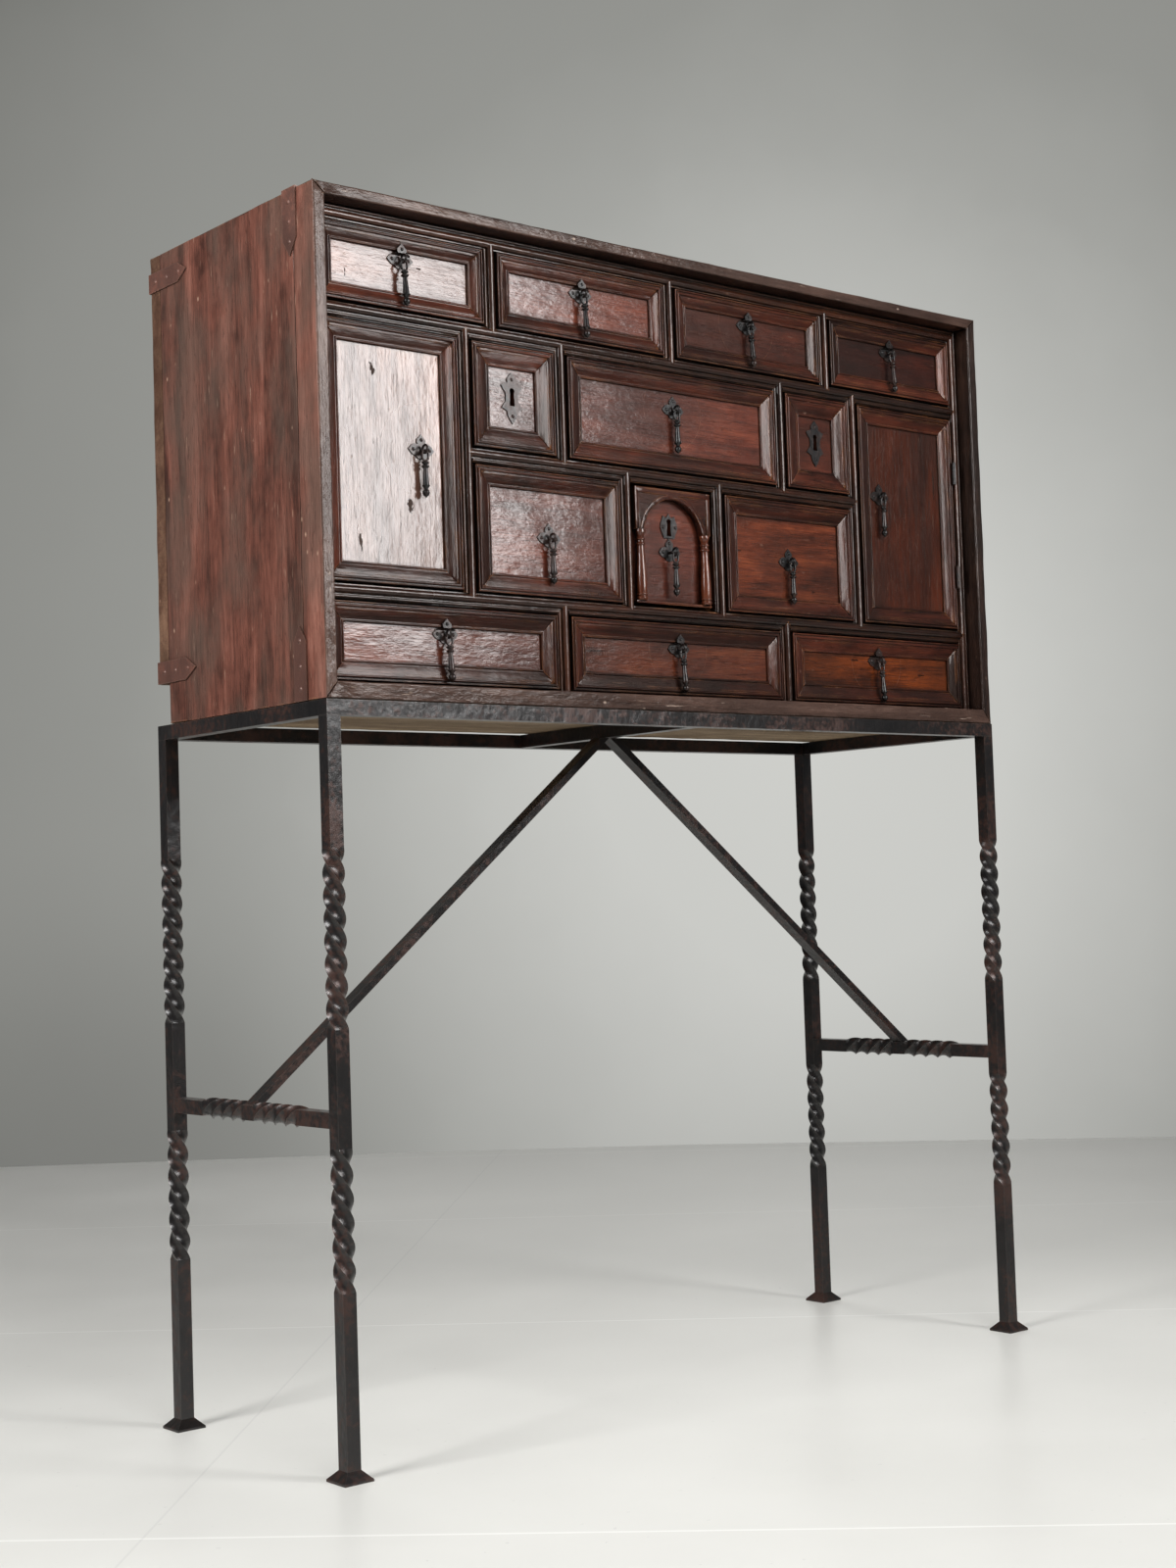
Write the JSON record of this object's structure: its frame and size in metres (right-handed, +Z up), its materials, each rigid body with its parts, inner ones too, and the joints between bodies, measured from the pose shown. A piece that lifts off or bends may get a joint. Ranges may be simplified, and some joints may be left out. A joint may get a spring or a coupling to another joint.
{
  "type": "vargueno",
  "caption": "Wooden desk chest with framed drawers, an arched middle drawer and two side doors, on a twisted wrought-iron stand.",
  "frame": {"origin": "on the floor, below the middle of the four feet", "axes": "+Z up, drawers and doors face -Y, +X to the viewer's right as seen from the front"},
  "size_m": [1.096, 0.384, 1.3815],
  "materials": {
    "case_wood": "dark waxed walnut boards, scratched",
    "front_wood": "old waxed walnut, worn and faded",
    "strip_wood": "waxed beaded strips, polished crowns",
    "inner_wood": "dry unfinished boards",
    "colonette_wood": "turned, glossy wax",
    "fitting_iron": "forged, dark, slightly rusted",
    "stand_iron": "wrought bar, black-brown with rust"
  },
  "bodies": {
    "case_and_stand": {"case_left_side": "case_wood", "case_right_side": "case_wood", "case_top": "case_wood", "case_bottom": "case_wood", "case_back": "case_wood", "shelves": "inner_wood", "partitions": "inner_wood", "front_strips": "strip_wood", "cornice_and_stile": "strip_wood", "corner_straps": "fitting_iron", "door_hinges": "fitting_iron", "stand_frame": "stand_iron", "stand_legs": "stand_iron", "stand_stretchers": "stand_iron", "stand_braces": "stand_iron"},
    "drawer_top_1": {"drawer_top_1": "front_wood", "backplate_top_1": "fitting_iron"},
    "pull_top_1": {"pull_top_1": "fitting_iron"},
    "drawer_top_2": {"drawer_top_2": "front_wood", "backplate_top_2": "fitting_iron"},
    "pull_top_2": {"pull_top_2": "fitting_iron"},
    "drawer_top_3": {"drawer_top_3": "front_wood", "backplate_top_3": "fitting_iron"},
    "pull_top_3": {"pull_top_3": "fitting_iron"},
    "drawer_top_4": {"drawer_top_4": "front_wood", "backplate_top_4": "fitting_iron"},
    "pull_top_4": {"pull_top_4": "fitting_iron"},
    "drawer_upper_1": {"drawer_upper_1": "front_wood", "lock_upper_1": "fitting_iron"},
    "drawer_upper_2": {"drawer_upper_2": "front_wood", "backplate_upper_2": "fitting_iron"},
    "pull_upper_2": {"pull_upper_2": "fitting_iron"},
    "drawer_upper_3": {"drawer_upper_3": "front_wood", "lock_upper_3": "fitting_iron"},
    "drawer_lower_1": {"drawer_lower_1": "front_wood", "backplate_lower_1": "fitting_iron"},
    "pull_lower_1": {"pull_lower_1": "fitting_iron"},
    "drawer_lower_2": {"drawer_lower_2": "front_wood", "backplate_lower_2": "fitting_iron", "lock_lower_2": "fitting_iron", "colonettes_lower_2": "colonette_wood"},
    "pull_lower_2": {"pull_lower_2": "fitting_iron"},
    "drawer_lower_3": {"drawer_lower_3": "front_wood", "backplate_lower_3": "fitting_iron"},
    "pull_lower_3": {"pull_lower_3": "fitting_iron"},
    "drawer_bottom_1": {"drawer_bottom_1": "front_wood", "backplate_bottom_1": "fitting_iron"},
    "pull_bottom_1": {"pull_bottom_1": "fitting_iron"},
    "drawer_bottom_2": {"drawer_bottom_2": "front_wood", "backplate_bottom_2": "fitting_iron"},
    "pull_bottom_2": {"pull_bottom_2": "fitting_iron"},
    "drawer_bottom_3": {"drawer_bottom_3": "front_wood", "backplate_bottom_3": "fitting_iron"},
    "pull_bottom_3": {"pull_bottom_3": "fitting_iron"},
    "left_door": {"left_door": "front_wood", "left_door_ironwork": "fitting_iron"},
    "pull_left_door": {"pull_left_door": "fitting_iron"},
    "right_door": {"right_door": "front_wood", "right_door_ironwork": "fitting_iron"},
    "pull_right_door": {"pull_right_door": "fitting_iron"}
  },
  "joints": [
    {"name": "slide_top_1", "type": "slide", "parent": "case_and_stand", "child": "drawer_top_1", "axis": [0, -1, 0], "range_m": [0, 0.24]},
    {"name": "swing_pull_top_1", "type": "hinge", "parent": "drawer_top_1", "child": "pull_top_1", "pos_m": [-0.4085, -0.1635, 1.3165], "axis": [-1, 0, 0], "range_deg": [0, 90]},
    {"name": "slide_top_2", "type": "slide", "parent": "case_and_stand", "child": "drawer_top_2", "axis": [0, -1, 0], "range_m": [0, 0.24]},
    {"name": "swing_pull_top_2", "type": "hinge", "parent": "drawer_top_2", "child": "pull_top_2", "pos_m": [-0.148, -0.1635, 1.3165], "axis": [-1, 0, 0], "range_deg": [0, 90]},
    {"name": "slide_top_3", "type": "slide", "parent": "case_and_stand", "child": "drawer_top_3", "axis": [0, -1, 0], "range_m": [0, 0.24]},
    {"name": "swing_pull_top_3", "type": "hinge", "parent": "drawer_top_3", "child": "pull_top_3", "pos_m": [0.12575, -0.1635, 1.3165], "axis": [-1, 0, 0], "range_deg": [0, 90]},
    {"name": "slide_top_4", "type": "slide", "parent": "case_and_stand", "child": "drawer_top_4", "axis": [0, -1, 0], "range_m": [0, 0.24]},
    {"name": "swing_pull_top_4", "type": "hinge", "parent": "drawer_top_4", "child": "pull_top_4", "pos_m": [0.38775, -0.1635, 1.3165], "axis": [-1, 0, 0], "range_deg": [0, 90]},
    {"name": "slide_upper_1", "type": "slide", "parent": "case_and_stand", "child": "drawer_upper_1", "axis": [0, -1, 0], "range_m": [0, 0.24]},
    {"name": "slide_upper_2", "type": "slide", "parent": "case_and_stand", "child": "drawer_upper_2", "axis": [0, -1, 0], "range_m": [0, 0.24]},
    {"name": "swing_pull_upper_2", "type": "hinge", "parent": "drawer_upper_2", "child": "pull_upper_2", "pos_m": [-0.0055, -0.1635, 1.1935], "axis": [-1, 0, 0], "range_deg": [0, 90]},
    {"name": "slide_upper_3", "type": "slide", "parent": "case_and_stand", "child": "drawer_upper_3", "axis": [0, -1, 0], "range_m": [0, 0.24]},
    {"name": "slide_lower_1", "type": "slide", "parent": "case_and_stand", "child": "drawer_lower_1", "axis": [0, -1, 0], "range_m": [0, 0.24]},
    {"name": "swing_pull_lower_1", "type": "hinge", "parent": "drawer_lower_1", "child": "pull_lower_1", "pos_m": [-0.20775, -0.1635, 1.019], "axis": [-1, 0, 0], "range_deg": [0, 90]},
    {"name": "slide_lower_2", "type": "slide", "parent": "case_and_stand", "child": "drawer_lower_2", "axis": [0, -1, 0], "range_m": [0, 0.24]},
    {"name": "swing_pull_lower_2", "type": "hinge", "parent": "drawer_lower_2", "child": "pull_lower_2", "pos_m": [-0.016, -0.1635, 1.017], "axis": [-1, 0, 0], "range_deg": [0, 90]},
    {"name": "slide_lower_3", "type": "slide", "parent": "case_and_stand", "child": "drawer_lower_3", "axis": [0, -1, 0], "range_m": [0, 0.24]},
    {"name": "swing_pull_lower_3", "type": "hinge", "parent": "drawer_lower_3", "child": "pull_lower_3", "pos_m": [0.185, -0.1635, 1.019], "axis": [-1, 0, 0], "range_deg": [0, 90]},
    {"name": "slide_bottom_1", "type": "slide", "parent": "case_and_stand", "child": "drawer_bottom_1", "axis": [0, -1, 0], "range_m": [0, 0.24]},
    {"name": "swing_pull_bottom_1", "type": "hinge", "parent": "drawer_bottom_1", "child": "pull_bottom_1", "pos_m": [-0.3615, -0.1635, 0.8985], "axis": [-1, 0, 0], "range_deg": [0, 90]},
    {"name": "slide_bottom_2", "type": "slide", "parent": "case_and_stand", "child": "drawer_bottom_2", "axis": [0, -1, 0], "range_m": [0, 0.24]},
    {"name": "swing_pull_bottom_2", "type": "hinge", "parent": "drawer_bottom_2", "child": "pull_bottom_2", "pos_m": [-0.00975, -0.1635, 0.8985], "axis": [-1, 0, 0], "range_deg": [0, 90]},
    {"name": "slide_bottom_3", "type": "slide", "parent": "case_and_stand", "child": "drawer_bottom_3", "axis": [0, -1, 0], "range_m": [0, 0.24]},
    {"name": "swing_pull_bottom_3", "type": "hinge", "parent": "drawer_bottom_3", "child": "pull_bottom_3", "pos_m": [0.34325, -0.1635, 0.8985], "axis": [-1, 0, 0], "range_deg": [0, 90]},
    {"name": "hinge_left_door", "type": "hinge", "parent": "case_and_stand", "child": "left_door", "pos_m": [-0.5196, -0.1655, 1.0935], "axis": [0, 0, -1], "range_deg": [0, 95]},
    {"name": "swing_pull_left_door", "type": "hinge", "parent": "left_door", "child": "pull_left_door", "pos_m": [-0.387, -0.1635, 1.1045], "axis": [-1, 0, 0], "range_deg": [0, 90]},
    {"name": "hinge_right_door", "type": "hinge", "parent": "case_and_stand", "child": "right_door", "pos_m": [0.5026, -0.1655, 1.0935], "axis": [0, 0, 1], "range_deg": [0, 110]},
    {"name": "swing_pull_right_door", "type": "hinge", "parent": "right_door", "child": "pull_right_door", "pos_m": [0.36, -0.1635, 1.1195], "axis": [-1, 0, 0], "range_deg": [0, 90]}
  ]
}
